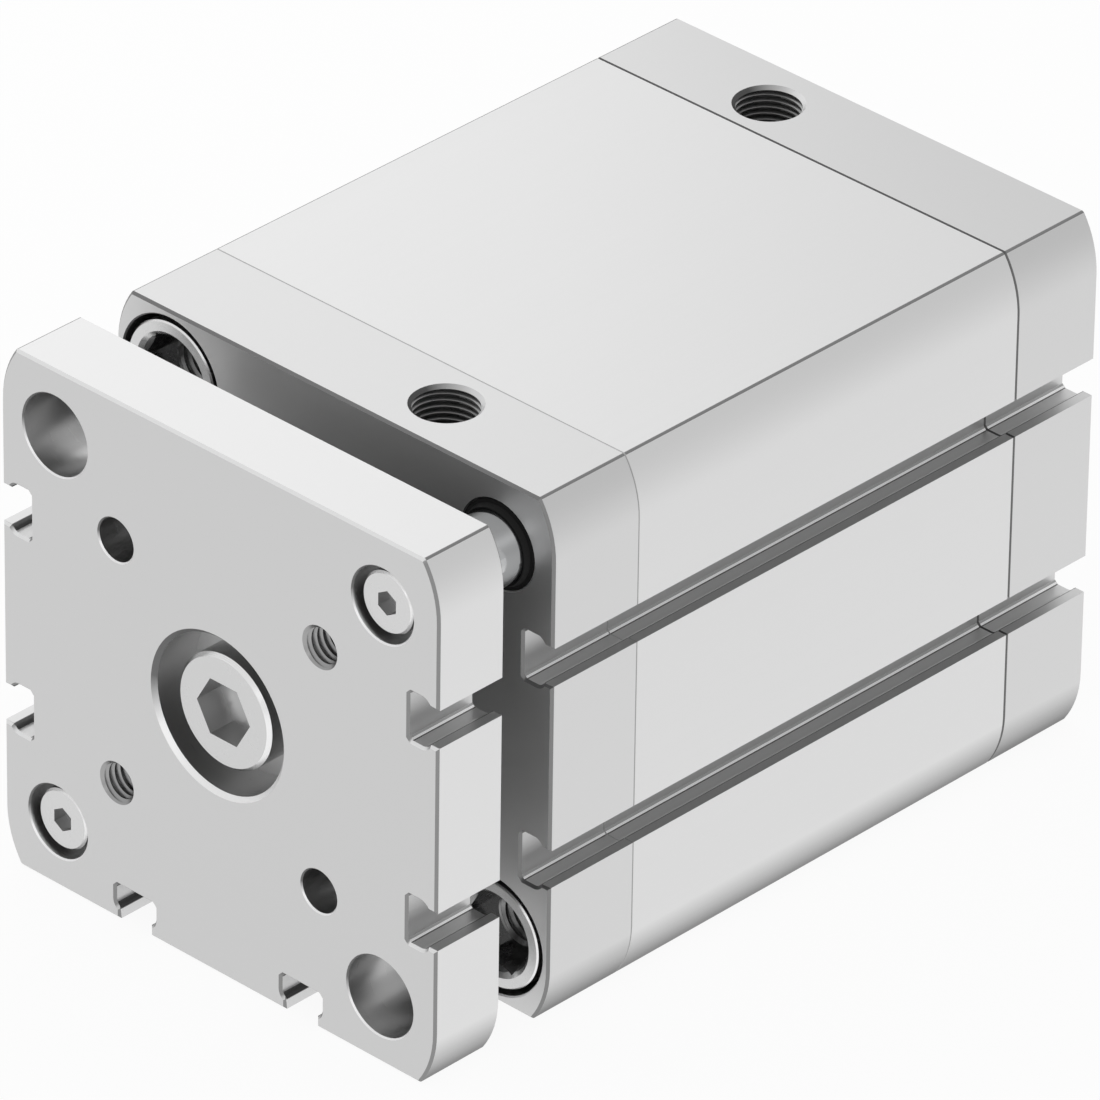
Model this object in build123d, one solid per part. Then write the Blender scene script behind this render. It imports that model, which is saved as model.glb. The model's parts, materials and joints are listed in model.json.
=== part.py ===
from build123d import *
import os
from math import acos, degrees, isclose, sqrt
from typing import NamedTuple

# Guided pneumatic cylinder with a yoke plate on two guide rods, bore 63, stroke 50.
# Millimetres. +Z is up, with the two air ports on top. The cylinder axis lies along Y:
# the rear mounting face looks to +Y and holds the origin, and the yoke plate looks to -Y.
# A station is a distance forward of the rear mounting face, so it grows towards -Y.
# The yoke is drawn at its rear stop, as it stands with the rod retracted.

# Driving dimensions
BORE = 63.0
STROKE = 50.0
SECTION = 75.5            # width and height of the square section
TOP_FLAT = 70.2           # width of the flat on the top and on the underside
FLANK_RADIUS = 14.0       # arc that runs from that flat into each side
SCREW_PITCH = 56.5        # square pattern of the corner screws and guide rods
LONG_EDGE = 0.5           # round along the edge between that flat and the arc
END_BREAK = 0.35          # broken end outlines of the plate and of the housing
FRONT_JOINT_BREAK = 0.1   # the same where the front cap meets the barrel
REAR_JOINT_BREAK = 0.2    # the same where the rear cap meets the barrel
HOLE_BREAK = 0.2          # broken rims of holes
OVERCUT = 1.0             # how far a slot's cut runs past the face that it opens in
DRILL_POINT = 0.3         # depth of a drill's point, as a share of its diameter
POINT_WIDTH = 0.2         # a drill's point is left this wide
SAME = 0.001              # lengths that differ by less are the same

# Lengths along the axis
CAP_LENGTH = 15.0
PISTON_SPACE = 19.0       # what the piston and its two pads take of the barrel
PLATE_GAP = 8.5
PLATE_THICKNESS = 11.5
END_CLEARANCE = 0.3       # left at each end of the stroke

BARREL_START = CAP_LENGTH
BARREL_LENGTH = STROKE + PISTON_SPACE
FRONT_CAP_START = BARREL_START + BARREL_LENGTH
FRONT_FACE = FRONT_CAP_START + CAP_LENGTH
PLATE_START = FRONT_FACE + PLATE_GAP
PLATE_FACE = PLATE_START + PLATE_THICKNESS

# T-slots, two in each side and two in the underside
SLOT_OFFSET = 14.6        # slot centre from the middle of its face
SLOT_MOUTH = 5.4
SLOT_LIP = 1.35
SLOT_WIDTH = 7.0
SLOT_DEPTH = 5.0
SLOT_SHOULDER = 1.4
SLOT_FLOOR_CHAMFER = 0.45

# Fits
RUNNING = 0.05            # radial clearance of what slides
SEATED = 0.03             # radial clearance of what sits fixed in its bore

# Which way a face looks
FRONT = 1
REAR = -1

# Corners, seen from the front: x to the right, z up
HALF_PITCH = SCREW_PITCH / 2
SCREW_CORNERS = [(-HALF_PITCH, HALF_PITCH), (HALF_PITCH, -HALF_PITCH)]
GUIDE_CORNERS = {"right": (HALF_PITCH, HALF_PITCH), "left": (-HALF_PITCH, -HALF_PITCH)}
ALL_CORNERS = SCREW_CORNERS + list(GUIDE_CORNERS.values())
CENTRE = [(0.0, 0.0)]

# Collar screws: hollow, with a hexagon socket and an M8 thread for what is bolted on
COLLAR_HEAD = 15.2
COLLAR_HEAD_LENGTH = 9.2
COLLAR_HEAD_EDGE = 0.2
COLLAR_SUNK = 0.1         # head face below the face of the cap
COLLAR_RECESS = 16.8
COLLAR_SHANK = 11.9
COLLAR_HOLE = 12.4
COLLAR_THREAD_LENGTH = 12.0
COLLAR_SOCKET = 10.0
COLLAR_SOCKET_DEPTH = 5.0
COLLAR_SOCKET_MOUTH = 12.2
M8_CORE = 6.8
CORNER_CHANNEL = 11.0     # the barrel's corner channels, tapped M12x1 at their ends

# Piston rod and guide rods
ROD = 16.0
ROD_BUSH = 18.0
ROD_BUSH_LENGTH = 8.8
ROD_SEAL = 24.0
ROD_SEAL_DEPTH = 5.5
ROD_SEAT_DEPTH = 1.0      # how far the rod's end sits in the back of the plate
GUIDE_ROD = 10.0
GUIDE_ROD_REAR = 30.0     # station of its rear end
GUIDE_SEAT_DEPTH = 2.0
GUIDE_BUSH = 12.0
GUIDE_BUSH_LENGTH = 10.0
GUIDE_BUSH_GAP = 0.5      # between the bush and the wiper in front of it
GUIDE_WIPER = 12.2
GUIDE_WIPER_DEPTH = 4.0
ROD_CHAMFER = 0.8

# Lip seals: each lip has a running face, and a slope back to the seal's body
SEAL_SUNK = 0.1           # a seal ends this far inside the face that it is set in
LIP_LAND = 0.7
LIP_SLOPE = 1.3
LIP_TAPER = 0.4
ROD_LIP = 1.5             # thickness of the rod seal's pressure lip at its root
ROD_SEAL_WAIST = 1.1
ROD_SEAL_WALL = 1.3
ROD_SEAL_GROOVE = 1.7
WIPER_REACH = 0.7         # a guide wiper's lip stands this far out of the cap
WIPER_ROOT = 0.5
WIPER_EDGE = 0.2
PISTON_SEAL_HEEL = 1.1

# Yoke plate
YOKE_RECESS = 22.0
YOKE_RECESS_DEPTH = 7.3
YOKE_RECESS_CHAMFER = 0.6
YOKE_HOLE = 10.5
GUIDE_SCREW_RECESS = 10.3
GUIDE_SCREW_RECESS_DEPTH = 4.3
GUIDE_SCREW_HOLE = 5.5
KEY_HOLE = 11.2           # a key for the collar screws behind passes through
TOOL_CIRCLE = 50.0        # pitch circle of the pin holes and threaded holes
PIN_HOLE = 6.0
M6_CORE = 5.0
THREAD_CHAMFER = 0.5      # at the mouth of an M6 or M8 thread


class ScrewSize(NamedTuple):
    """Sizes of a low-head socket screw."""
    head: float
    head_length: float
    head_chamfer: float
    socket: float         # across the flats of the hexagon
    socket_depth: float
    socket_turn: float    # angle in degrees that the hexagon is turned by
    shank: float
    core: float           # of the thread


# Screws of the yoke: M10 in the middle, M5 on the guide rods, M8 in the piston
YOKE_SCREW = ScrewSize(16.0, 6.2, 0.5, 8.0, 4.0, 0.0, 10.0, 8.5)
GUIDE_SCREW = ScrewSize(8.5, 3.5, 0.3, 3.0, 2.0, 30.0, 5.0, 4.2)
PISTON_SCREW = ScrewSize(13.0, 5.0, 0.5, 5.0, 3.0, 0.0, 8.0, 6.8)
YOKE_THREAD_LENGTH = 20.0
GUIDE_THREAD_LENGTH = 12.0
PISTON_THREAD_LENGTH = 14.0
DRILL_SPARE = 4.0         # how much deeper a tapped hole is than its screw
SOCKET_DRILL = 0.85       # drill under a hexagon socket, as a share of its width

# Air ports, G1/8
PORT_CORE = 8.6
PORT_THREAD_DEPTH = 9.0
PORT_SHIFT = 11.5         # the front port is right of the middle, the rear one left
PORT_FROM_FACE = 8.2
PORT_CHAMFER = 0.5
PORT_DRILL = 4.5
PORT_DRILL_Z = 21.5
AIR_PASSAGE = 3.6
AIR_PASSAGE_Z = 23.4

# Piston
PISTON = 62.4
PISTON_HALF = 6.4
PAD_THICKNESS = 3.8
PAD_SEAT = 1.0
PAD_OUTER = 46.0
PAD_INNER = 30.0
PISTON_SPIGOT = 12.0
SPIGOT_SHORT = 0.3        # the rod's spigot ends this far before the joint of the halves
PISTON_SCREW_WEB = 2.5
PISTON_SCREW_PLAY = 0.5   # what its hole and its recess are wider than the screw
SEAL_GROOVE = 54.4
SEAL_GROOVE_START = 2.9
SEAL_GROOVE_WIDTH = 3.0
BAND_GROOVE = 59.2
BAND_WIDTH = 4.4
MAGNET_OUTER = 56.0
MAGNET_INNER = 48.0
MAGNET_WIDTH = 3.4
ROD_RING_SEAT = 15.2
ROD_RING_DEPTH = 1.6
ROD_RING_SECTION = 1.5
PISTON_JOINT = BARREL_START + END_CLEARANCE + PISTON_HALF + PAD_THICKNESS - PAD_SEAT

# Static seal between a cap and the barrel
SPIGOT_OUTER = 62.6
SPIGOT_INNER = 56.0
SPIGOT_LENGTH = 2.5
SEAL_SEAT = 66.2
SEAL_SEAT_DEPTH = 1.65
SEAL_SECTION = 1.6


def section_plane(station):
    """Plane across the cylinder axis, looking forward, with X to the right and Z up."""
    return Plane.XZ.offset(station)


def bars(diameter, start, length, places=CENTRE):
    """Round bars along the axis, one at each (x, z) place. Also used to cut holes."""
    discs = Sketch()
    for x, z in places:
        discs += section_plane(start) * Pos(x, z) * Circle(diameter / 2)
    return extrude(discs, amount=length)


def tube(outer, inner, start, length, places=CENTRE):
    """Plain tubes along the axis."""
    return bars(outer, start, length, places) - bars(inner, start, length, places)


def cone(large, small, start, length, places=CENTRE):
    """Cones along the axis that narrow from the large to the small diameter."""
    shapes = Part()
    for x, z in places:
        base = section_plane(start) * Pos(x, z) * Circle(large / 2)
        tip = section_plane(start + length) * Pos(x, z) * Circle(small / 2)
        shapes += loft([base, tip])
    return shapes


def mouths(diameter, face, side, places=CENTRE, width=HOLE_BREAK):
    """Cuts that break the rims of holes in the face at a station."""
    wide = diameter + 2 * width
    if side == FRONT:
        return cone(diameter, wide, face - width, width, places)
    return cone(wide, diameter, face, width, places)


def hexagon(across_flats, length, turn=0.0):
    """Hexagonal prism on the axis from station 0, for the socket of a screw."""
    outline = RegularPolygon(across_flats / 2, 6, major_radius=False, rotation=turn)
    return extrude(section_plane(0) * outline, amount=length)


def turned(*outline):
    """Body of revolution about the cylinder axis, from (radius, station) corners."""
    corners = [(radius, -station) for radius, station in outline]
    return revolve(make_face(Polyline(*corners, close=True)), Axis.Y)


def o_ring(middle_diameter, section, station):
    """Round-section ring about the cylinder axis."""
    circle = Pos(middle_diameter / 2, -station) * Circle(section / 2)
    return revolve(circle, Axis.Y)


def slot_sketch():
    """T-slot across its length: its mouth is at the origin and it runs in towards -X."""
    mouth = Pos(OVERCUT, 0) * Rectangle(
        SLOT_DEPTH + OVERCUT, SLOT_MOUTH, align=(Align.MAX, Align.CENTER)
    )
    chamber = Pos(-SLOT_DEPTH, 0) * Rectangle(
        SLOT_DEPTH - SLOT_LIP, SLOT_WIDTH, align=(Align.MIN, Align.CENTER)
    )
    chamber = fillet(chamber.vertices().sort_by(Axis.X)[-2:], SLOT_SHOULDER)
    chamber = chamfer(chamber.vertices().sort_by(Axis.X)[:2], SLOT_FLOOR_CHAMFER)
    return mouth + chamber


def section_sketch():
    """Section shared by the barrel, both caps and the plate."""
    half = SECTION / 2
    flat = TOP_FLAT / 2
    run = FLANK_RADIUS - half + flat
    spring = half - sqrt(FLANK_RADIUS**2 - run**2)
    turn = degrees(acos(run / FLANK_RADIUS))
    with BuildSketch() as sketch:
        with BuildLine():
            Line((0, half), (flat, half))
            JernArc((half, spring), (0, 1), FLANK_RADIUS, turn)
            Line((half, spring), (half, -spring))
            JernArc((half, -spring), (0, -1), FLANK_RADIUS, -turn)
            Line((flat, -half), (0, -half))
            mirror(about=Plane.YZ)
        make_face()
        ends = [v for v in sketch.vertices() if isclose(abs(v.X), flat, abs_tol=SAME)]
        fillet(ends, LONG_EDGE)
    slots = Sketch()
    for offset in (-SLOT_OFFSET, SLOT_OFFSET):
        slots += Pos(half, offset) * slot_sketch()
        slots += Pos(-half, offset) * Rot(0, 0, 180) * slot_sketch()
        slots += Pos(offset, -half) * Rot(0, 0, -90) * slot_sketch()
    return sketch.sketch - slots


def prism(start, length, rear_break, front_break):
    """Length of the section with the outlines of its two ends broken."""
    block = extrude(section_plane(start) * section_sketch(), amount=length)
    block = chamfer(block.faces().sort_by(Axis.Y)[-1].edges(), rear_break)
    return chamfer(block.faces().sort_by(Axis.Y)[0].edges(), front_break)


def cylinder_barrel():
    """Extruded barrel: bore, four corner channels and a seal seat at each end."""
    barrel = prism(BARREL_START, BARREL_LENGTH, REAR_JOINT_BREAK, FRONT_JOINT_BREAK)
    barrel -= bars(BORE, BARREL_START, BARREL_LENGTH)
    barrel -= bars(CORNER_CHANNEL, BARREL_START, BARREL_LENGTH, ALL_CORNERS)
    barrel -= bars(SEAL_SEAT, BARREL_START, SEAL_SEAT_DEPTH)
    barrel -= bars(SEAL_SEAT, FRONT_CAP_START - SEAL_SEAT_DEPTH, SEAL_SEAT_DEPTH)
    return barrel


def air_port(x, station, barrel_side):
    """Port from the top, its drill point, and the passage to the barrel's side."""
    top = Plane.XY.offset(SECTION / 2)
    mouth = Pos(x, -station)
    thread = extrude(top * mouth * Circle(PORT_CORE / 2), amount=-PORT_THREAD_DEPTH)
    drill = extrude(
        top * mouth * Circle(PORT_DRILL / 2), amount=PORT_DRILL_Z - SECTION / 2
    )
    wide = top * mouth * Circle(PORT_CORE / 2 + PORT_CHAMFER)
    narrow = top.offset(-PORT_CHAMFER) * mouth * Circle(PORT_CORE / 2)
    near = min(station, barrel_side)
    reach = abs(barrel_side - station)
    passage = bars(AIR_PASSAGE, near, reach, [(x, AIR_PASSAGE_Z)])
    return thread + drill + loft([wide, narrow]) + passage


def spigot(start):
    """Ring that centres a cap in the bore and backs the static seal."""
    return tube(SPIGOT_OUTER, SPIGOT_INNER, start, SPIGOT_LENGTH)


def front_cap():
    """Front cap: rod and guide bearings, two collar screws, and the front port."""
    cap = prism(FRONT_CAP_START, CAP_LENGTH, FRONT_JOINT_BREAK, END_BREAK)
    cap += spigot(FRONT_CAP_START - SPIGOT_LENGTH)
    guides = GUIDE_CORNERS.values()
    head_depth = COLLAR_SUNK + COLLAR_HEAD_LENGTH
    cap -= bars(ROD_BUSH, FRONT_CAP_START, CAP_LENGTH)
    cap -= bars(ROD_SEAL, FRONT_FACE - ROD_SEAL_DEPTH, ROD_SEAL_DEPTH)
    cap -= bars(GUIDE_BUSH, FRONT_CAP_START, CAP_LENGTH, guides)
    cap -= bars(GUIDE_WIPER, FRONT_FACE - GUIDE_WIPER_DEPTH, GUIDE_WIPER_DEPTH, guides)
    cap -= bars(COLLAR_HOLE, FRONT_CAP_START, CAP_LENGTH, SCREW_CORNERS)
    cap -= bars(COLLAR_RECESS, FRONT_FACE - head_depth, head_depth, SCREW_CORNERS)
    cap -= mouths(ROD_SEAL, FRONT_FACE, FRONT)
    cap -= mouths(GUIDE_WIPER, FRONT_FACE, FRONT, guides)
    cap -= mouths(COLLAR_RECESS, FRONT_FACE, FRONT, SCREW_CORNERS)
    cap -= air_port(PORT_SHIFT, FRONT_FACE - PORT_FROM_FACE, FRONT_CAP_START)
    return cap


def rear_cap():
    """Rear cap: four collar screws whose threads take the mounting screws, and a port."""
    cap = prism(0, CAP_LENGTH, END_BREAK, REAR_JOINT_BREAK) + spigot(CAP_LENGTH)
    cap -= bars(COLLAR_HOLE, 0, CAP_LENGTH, ALL_CORNERS)
    cap -= bars(COLLAR_RECESS, 0, COLLAR_SUNK + COLLAR_HEAD_LENGTH, ALL_CORNERS)
    cap -= mouths(COLLAR_RECESS, 0, REAR, ALL_CORNERS)
    cap -= air_port(-PORT_SHIFT, PORT_FROM_FACE, CAP_LENGTH)
    return cap


def yoke_plate():
    """Yoke plate: screw recesses, key holes, pin holes and threaded holes."""
    plate = prism(PLATE_START, PLATE_THICKNESS, END_BREAK, END_BREAK)
    guides = GUIDE_CORNERS.values()
    tool = TOOL_CIRCLE / 2 / sqrt(2)
    pins = [(-tool, tool), (tool, -tool)]
    threads = [(tool, tool), (-tool, -tool)]
    plate -= bars(YOKE_RECESS, PLATE_FACE - YOKE_RECESS_DEPTH, YOKE_RECESS_DEPTH)
    plate -= bars(YOKE_HOLE, PLATE_START, PLATE_THICKNESS)
    plate -= bars(ROD + 2 * SEATED, PLATE_START, ROD_SEAT_DEPTH)
    plate -= bars(
        GUIDE_SCREW_RECESS,
        PLATE_FACE - GUIDE_SCREW_RECESS_DEPTH,
        GUIDE_SCREW_RECESS_DEPTH,
        guides,
    )
    plate -= bars(GUIDE_SCREW_HOLE, PLATE_START, PLATE_THICKNESS, guides)
    plate -= bars(GUIDE_ROD + 2 * SEATED, PLATE_START, GUIDE_SEAT_DEPTH, guides)
    plate -= bars(KEY_HOLE, PLATE_START, PLATE_THICKNESS, SCREW_CORNERS)
    plate -= bars(PIN_HOLE, PLATE_START, PLATE_THICKNESS, pins)
    plate -= bars(M6_CORE, PLATE_START, PLATE_THICKNESS, threads)
    plate -= mouths(YOKE_RECESS, PLATE_FACE, FRONT, width=YOKE_RECESS_CHAMFER)
    plate -= mouths(GUIDE_SCREW_RECESS, PLATE_FACE, FRONT, guides)
    for face, side in ((PLATE_FACE, FRONT), (PLATE_START, REAR)):
        plate -= mouths(KEY_HOLE, face, side, SCREW_CORNERS)
        plate -= mouths(PIN_HOLE, face, side, pins)
        plate -= mouths(M6_CORE, face, side, threads, THREAD_CHAMFER)
    return plate


def collar_screw():
    """Hollow collar screw on the axis, its head face at station 0, its thread forward."""
    head = chamfer(
        bars(COLLAR_HEAD, 0, COLLAR_HEAD_LENGTH).faces().sort_by(Axis.Y)[-1].edges(),
        COLLAR_HEAD_EDGE,
    )
    neck_end = CAP_LENGTH - COLLAR_SUNK
    neck = bars(COLLAR_SHANK, COLLAR_HEAD_LENGTH, neck_end - COLLAR_HEAD_LENGTH)
    thread = bars(CORNER_CHANNEL - 2 * SEATED, neck_end, COLLAR_THREAD_LENGTH)
    mouth_depth = (COLLAR_SOCKET_MOUTH - COLLAR_SOCKET) / 2
    screw = head + neck + thread
    screw -= hexagon(COLLAR_SOCKET, COLLAR_SOCKET_DEPTH)
    screw -= cone(COLLAR_SOCKET_MOUTH, COLLAR_SOCKET, 0, mouth_depth)
    screw -= bars(M8_CORE, 0, neck_end + COLLAR_THREAD_LENGTH)
    return screw - mouths(M8_CORE, COLLAR_SOCKET_DEPTH, REAR, width=THREAD_CHAMFER)


def cap_screw(size, grip, thread_length):
    """Socket screw on the axis, its head face at station 0, its shank forward."""
    edge = bars(size.head, 0, size.head_length).faces().sort_by(Axis.Y)[-1].edges()
    screw = chamfer(edge, size.head_chamfer)
    screw += bars(size.shank, size.head_length, grip)
    screw += bars(size.core - 2 * SEATED, size.head_length + grip, thread_length)
    return screw - hexagon(size.socket, size.socket_depth, size.socket_turn)


def facing_rear(screw, x, z, station):
    """Screw set with its head towards the rear, its head face at the station."""
    return Pos(x, -station, z) * screw


def facing_front(screw, x, z, station):
    """Screw set with its head towards the front, its head face at the station."""
    return Pos(x, -station, z) * Rot(0, 0, 180) * screw


def front_cap_screws():
    """Two collar screws beside the guide rods."""
    screws = Part()
    for x, z in SCREW_CORNERS:
        screws += facing_front(collar_screw(), x, z, FRONT_FACE - COLLAR_SUNK)
    return screws


def rear_cap_screws():
    """Four collar screws at the corners of the mounting face."""
    screws = Part()
    for x, z in ALL_CORNERS:
        screws += facing_rear(collar_screw(), x, z, COLLAR_SUNK)
    return screws


def barrel_seal(station):
    """Static ring seal in the corner between a cap's face and the barrel."""
    middle = SEAL_SEAT - SEAL_SECTION - 2 * SEATED
    return o_ring(middle, SEAL_SECTION, station)


def rod_bush():
    """Sliding bush of the piston rod."""
    end = FRONT_FACE - ROD_SEAL_DEPTH - SEATED
    inner = ROD + 2 * RUNNING
    return tube(ROD_BUSH - 2 * SEATED, inner, end - ROD_BUSH_LENGTH, ROD_BUSH_LENGTH)


def rod_seal():
    """Rod seal: a pressure lip that opens to the barrel and a wiper lip at the front."""
    outer = ROD_SEAL / 2 - SEATED
    lip = ROD / 2 + RUNNING
    back = FRONT_FACE - ROD_SEAL_DEPTH + SEATED
    front = FRONT_FACE - SEAL_SUNK
    groove = back + ROD_SEAL_GROOVE
    wall = outer - ROD_SEAL_WALL
    waist = lip + ROD_SEAL_WAIST
    return turned(
        (outer, back),
        (wall, back),
        (wall - LIP_TAPER, groove),
        (lip + ROD_LIP, groove),
        (lip, back),
        (lip, back + LIP_LAND),
        (waist, back + LIP_LAND + LIP_SLOPE),
        (waist, front - LIP_LAND - LIP_SLOPE),
        (lip, front - LIP_LAND),
        (lip, front),
        (outer, front),
    )


def guide_bush(x, z):
    """Sliding bush of one guide rod."""
    start = FRONT_FACE - GUIDE_WIPER_DEPTH - GUIDE_BUSH_GAP - GUIDE_BUSH_LENGTH
    outer = GUIDE_BUSH - 2 * SEATED
    inner = GUIDE_ROD + 2 * RUNNING
    return tube(outer, inner, start, GUIDE_BUSH_LENGTH, [(x, z)])


def guide_wiper(x, z):
    """Wiper ring of one guide rod. Its lip stands a little proud of the cap."""
    outer = GUIDE_WIPER / 2 - SEATED
    lip = GUIDE_ROD / 2 + RUNNING
    back = FRONT_FACE - GUIDE_WIPER_DEPTH + SEAL_SUNK
    tip = FRONT_FACE + WIPER_REACH
    root = tip - LIP_LAND
    relief = lip + LIP_TAPER
    ring = turned(
        (outer, back),
        (outer, FRONT_FACE - SEAL_SUNK),
        (lip + WIPER_ROOT, root),
        (lip + WIPER_EDGE, tip),
        (lip, tip),
        (lip, root),
        (relief, root - LIP_SLOPE),
        (relief, back),
    )
    return Pos(x, 0, z) * ring


def guide_rod(x, z):
    """Guide rod, tapped at the front for the screw that holds it to the plate."""
    front = PLATE_START + GUIDE_SEAT_DEPTH
    bar = bars(GUIDE_ROD, GUIDE_ROD_REAR, front - GUIDE_ROD_REAR, [(x, z)])
    rear_edge = bar.faces().sort_by(Axis.Y)[-1].edges()
    rod = chamfer(rear_edge, ROD_CHAMFER)
    core = GUIDE_SCREW.core
    depth = GUIDE_THREAD_LENGTH + DRILL_SPARE
    rod -= bars(core, front - depth, depth, [(x, z)])
    point = DRILL_POINT * core
    rod -= cone(POINT_WIDTH, core, front - depth - point, point, [(x, z)])
    return rod


def guide_rod_screws():
    """Two low-head screws that hold the guide rods."""
    face = PLATE_FACE - GUIDE_SCREW_RECESS_DEPTH + GUIDE_SCREW.head_length
    grip = PLATE_THICKNESS - GUIDE_SCREW_RECESS_DEPTH - GUIDE_SEAT_DEPTH
    screws = Part()
    for x, z in GUIDE_CORNERS.values():
        screw = cap_screw(GUIDE_SCREW, grip, GUIDE_THREAD_LENGTH)
        screws += facing_front(screw, x, z, face)
    return screws


def yoke_screw():
    """Screw that holds the plate to the piston rod."""
    face = PLATE_FACE - YOKE_RECESS_DEPTH + YOKE_SCREW.head_length
    grip = PLATE_THICKNESS - YOKE_RECESS_DEPTH - ROD_SEAT_DEPTH
    screw = cap_screw(YOKE_SCREW, grip, YOKE_THREAD_LENGTH)
    drill = SOCKET_DRILL * YOKE_SCREW.socket
    screw -= cone(drill, POINT_WIDTH, YOKE_SCREW.socket_depth, DRILL_POINT * drill)
    return facing_front(screw, 0, 0, face)


def piston_rod():
    """Piston rod: tapped at the front for the plate, with the piston on its spigot."""
    front = PLATE_START + ROD_SEAT_DEPTH
    shoulder = PISTON_JOINT + PISTON_HALF
    tail = PISTON_JOINT + SPIGOT_SHORT
    rod = bars(ROD, shoulder, front - shoulder)
    rod += bars(PISTON_SPIGOT, tail, shoulder - tail)
    core = YOKE_SCREW.core
    depth = YOKE_THREAD_LENGTH + DRILL_SPARE
    point = DRILL_POINT * core
    rod -= bars(core, front - depth, depth)
    rod -= cone(POINT_WIDTH, core, front - depth - point, point)
    core = PISTON_SCREW.core
    depth = PISTON_THREAD_LENGTH + DRILL_SPARE
    rod -= bars(core, tail, depth)
    rod -= cone(core, POINT_WIDTH, tail + depth, DRILL_POINT * core)
    return rod


def piston_half(side, bore):
    """One half of the piston. The side is 1 for the front half and -1 for the rear."""
    def at(distance):
        return PISTON_JOINT + side * distance

    rim = PISTON / 2
    groove_end = SEAL_GROOVE_START + SEAL_GROOVE_WIDTH
    return turned(
        (bore / 2, at(0)),
        (MAGNET_INNER / 2, at(0)),
        (MAGNET_INNER / 2, at(MAGNET_WIDTH / 2)),
        (MAGNET_OUTER / 2, at(MAGNET_WIDTH / 2)),
        (MAGNET_OUTER / 2, at(0)),
        (BAND_GROOVE / 2, at(0)),
        (BAND_GROOVE / 2, at(BAND_WIDTH / 2)),
        (rim, at(BAND_WIDTH / 2)),
        (rim, at(SEAL_GROOVE_START)),
        (SEAL_GROOVE / 2, at(SEAL_GROOVE_START)),
        (SEAL_GROOVE / 2, at(groove_end)),
        (rim, at(groove_end)),
        (rim, at(PISTON_HALF)),
        (PAD_OUTER / 2 + SEATED, at(PISTON_HALF)),
        (PAD_OUTER / 2 + SEATED, at(PISTON_HALF - PAD_SEAT)),
        (PAD_INNER / 2 - SEATED, at(PISTON_HALF - PAD_SEAT)),
        (PAD_INNER / 2 - SEATED, at(PISTON_HALF)),
        (bore / 2, at(PISTON_HALF)),
    )


def piston_front():
    """Front half: it fits the rod's spigot and seats the rod's ring seal."""
    half = piston_half(1, PISTON_SPIGOT + 2 * SEATED)
    face = PISTON_JOINT + PISTON_HALF
    return half - bars(ROD_RING_SEAT, face - ROD_RING_DEPTH, ROD_RING_DEPTH)


def piston_rear():
    """Rear half: it is held by the piston screw, whose head it takes."""
    half = piston_half(-1, PISTON_SCREW.shank + PISTON_SCREW_PLAY)
    face = PISTON_JOINT - PISTON_HALF
    recess = PISTON_HALF - PISTON_SCREW_WEB
    return half - bars(PISTON_SCREW.head + PISTON_SCREW_PLAY, face, recess)


def piston_screw():
    """Low-head screw that clamps both halves to the rod."""
    seat = PISTON_JOINT - PISTON_SCREW_WEB
    grip = PISTON_SCREW_WEB + SPIGOT_SHORT
    screw = cap_screw(PISTON_SCREW, grip, PISTON_THREAD_LENGTH)
    return facing_rear(screw, 0, 0, seat - PISTON_SCREW.head_length)


def rod_ring():
    """Static ring seal between the rod's shoulder and the piston."""
    middle = ROD_RING_SEAT - ROD_RING_SECTION - 2 * SEATED
    station = PISTON_JOINT + PISTON_HALF - ROD_RING_DEPTH / 2
    return o_ring(middle, ROD_RING_SECTION, station)


def piston_magnet():
    """Ring magnet for the position sensors in the slots."""
    start = PISTON_JOINT - MAGNET_WIDTH / 2 + SEATED
    length = MAGNET_WIDTH - 2 * SEATED
    return tube(MAGNET_OUTER - 2 * SEATED, MAGNET_INNER + 2 * SEATED, start, length)


def piston_guide_band():
    """Guide band over the joint of the two halves."""
    start = PISTON_JOINT - BAND_WIDTH / 2 + SEATED
    length = BAND_WIDTH - 2 * SEATED
    return tube(BORE - 2 * RUNNING, BAND_GROOVE + 2 * SEATED, start, length)


def piston_seal(side):
    """Lip seal of the piston, open to the pressure on its own side."""
    def at(distance):
        return PISTON_JOINT + side * distance

    lip = BORE / 2 - RUNNING
    root = SEAL_GROOVE / 2 + SEATED
    heel = SEAL_GROOVE_START + SEATED
    end = SEAL_GROOVE_START + SEAL_GROOVE_WIDTH - SEATED
    middle = (lip + root) / 2
    return turned(
        (root, at(heel)),
        (lip - LIP_TAPER, at(heel)),
        (lip, at(end - LIP_LAND)),
        (lip, at(end)),
        (middle + LIP_TAPER, at(end)),
        (middle, at(heel + PISTON_SEAL_HEEL)),
        (middle - LIP_TAPER, at(end)),
        (root, at(end)),
    )


def cushion_pad(side):
    """Elastic ring that takes the piston's last travel against a cap."""
    face = PISTON_HALF - PAD_SEAT
    near = min(side * face, side * (face + PAD_THICKNESS))
    return tube(PAD_OUTER, PAD_INNER, PISTON_JOINT + near, PAD_THICKNESS)


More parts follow.
